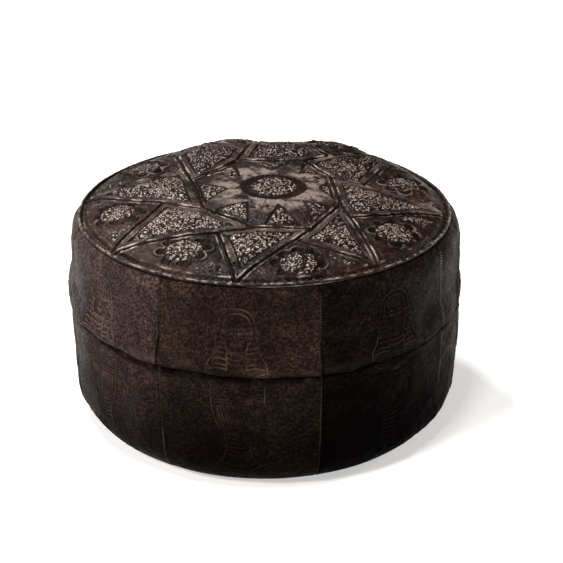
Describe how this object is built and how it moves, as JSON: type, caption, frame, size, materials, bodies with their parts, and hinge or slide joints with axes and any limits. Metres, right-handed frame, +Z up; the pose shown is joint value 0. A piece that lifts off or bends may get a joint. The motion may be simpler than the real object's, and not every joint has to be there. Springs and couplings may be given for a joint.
{
  "type": "leather pouf",
  "caption": "Round stuffed leather pouf with pressed wall panels, a pieced pinwheel star top with rosettes, a piped rim and a zip across the base.",
  "frame": {"origin": "centre of the base, on the floor", "axes": "+Z up; -Y is the front, with a panel's figure turned a little to the left of it; +X to the right; the zip runs along X"},
  "size_m": [0.54, 0.54, 0.314],
  "materials": {
    "star_leather": "satin",
    "patch_leather": "satin",
    "wall_leather": "satin",
    "welt_leather": "satin",
    "base_leather": "matte",
    "thread": "satin",
    "cotton_cord": "matte",
    "zip_tape": "matte",
    "zip_metal": "satin",
    "lining_cotton": "matte",
    "bag_cotton": "matte",
    "stuffing_fibre": "matte"
  },
  "bodies": {
    "root": {"centre_octagon": "star_leather", "star_triangle_1": "star_leather", "star_triangle_2": "star_leather", "star_triangle_3": "star_leather", "star_triangle_4": "star_leather", "star_triangle_5": "star_leather", "star_triangle_6": "star_leather", "star_triangle_7": "star_leather", "star_triangle_8": "star_leather", "rim_patch_1": "patch_leather", "rim_patch_2": "patch_leather", "rim_patch_3": "patch_leather", "rim_patch_4": "patch_leather", "rim_patch_5": "patch_leather", "rim_patch_6": "patch_leather", "rim_patch_7": "patch_leather", "rim_patch_8": "patch_leather", "side_panel_1": "wall_leather", "side_panel_2": "wall_leather", "side_panel_3": "wall_leather", "side_panel_4": "wall_leather", "side_panel_5": "wall_leather", "side_panel_6": "wall_leather", "side_panel_7": "wall_leather", "side_panel_8": "wall_leather", "side_seam_thread": "thread", "star_seam_thread": "thread", "rim_topstitch": "thread", "top_welt": "welt_leather", "welt_cord": "cotton_cord", "base_half_back": "base_leather", "base_half_front": "base_leather", "zip_tape_back": "zip_tape", "zip_tape_front": "zip_tape", "zip_teeth_back": "zip_metal", "zip_teeth_front": "zip_metal", "zip_top_stops": "zip_metal", "zip_bottom_stop": "zip_metal", "top_lining": "lining_cotton", "side_lining": "lining_cotton", "liner_bag": "bag_cotton", "stuffing": "stuffing_fibre"},
    "zip_slider": {"zip_slider": "zip_metal"},
    "zip_pull": {"zip_pull": "zip_metal"}
  },
  "joints": [
    {"name": "slider_slide", "type": "slide", "parent": "root", "child": "zip_slider", "axis": [-1, 0, 0], "range_m": [0, 0.3255], "deforming": ["zip_teeth_back", "zip_teeth_front"]},
    {"name": "pull_hinge", "type": "hinge", "parent": "zip_slider", "child": "zip_pull", "pos_m": [0.165, 0, 0.0055], "axis": [0, -1, 0], "range_deg": [0, 170]}
  ]
}
